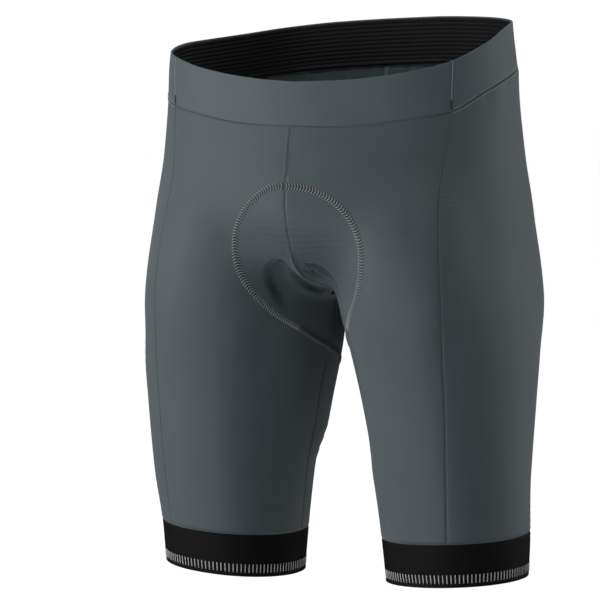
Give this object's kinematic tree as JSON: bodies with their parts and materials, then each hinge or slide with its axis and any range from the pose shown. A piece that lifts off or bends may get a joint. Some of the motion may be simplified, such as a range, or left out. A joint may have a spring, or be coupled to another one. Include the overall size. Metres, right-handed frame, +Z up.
{
  "type": "cycling shorts",
  "caption": "Close-fitting cycling shorts of stretch panels with a shaped waistband, ribbed elastic, dark leg grippers and a moulded seat pad.",
  "frame": {"origin": "middle of the waist opening, where the wearer holds the shorts", "axes": "+Z up, the front towards -Y, the wearer's left towards +X"},
  "size_m": [0.4022, 0.2893, 0.5594],
  "materials": {
    "main_fabric": "matt warp knit with a faint sheen",
    "waistband_fabric": "folded warp knit, a little smoother",
    "ribbed_elastic": "matt ribbed elastic",
    "hem_gripper": "matt elastic with light ticks",
    "seat_pad": "moulded foam under soft jersey",
    "thread": "spun polyester thread"
  },
  "bodies": {
    "root": {"front_panel_right": "main_fabric", "front_panel_left": "main_fabric", "side_panel_right": "main_fabric", "side_panel_left": "main_fabric", "back_panel_right": "main_fabric", "back_panel_left": "main_fabric", "waistband_front": "waistband_fabric", "waistband_back": "waistband_fabric", "waist_elastic": "ribbed_elastic", "hem_band_right": "hem_gripper", "hem_band_left": "hem_gripper", "seat_pad": "seat_pad"}
  },
  "joints": []
}
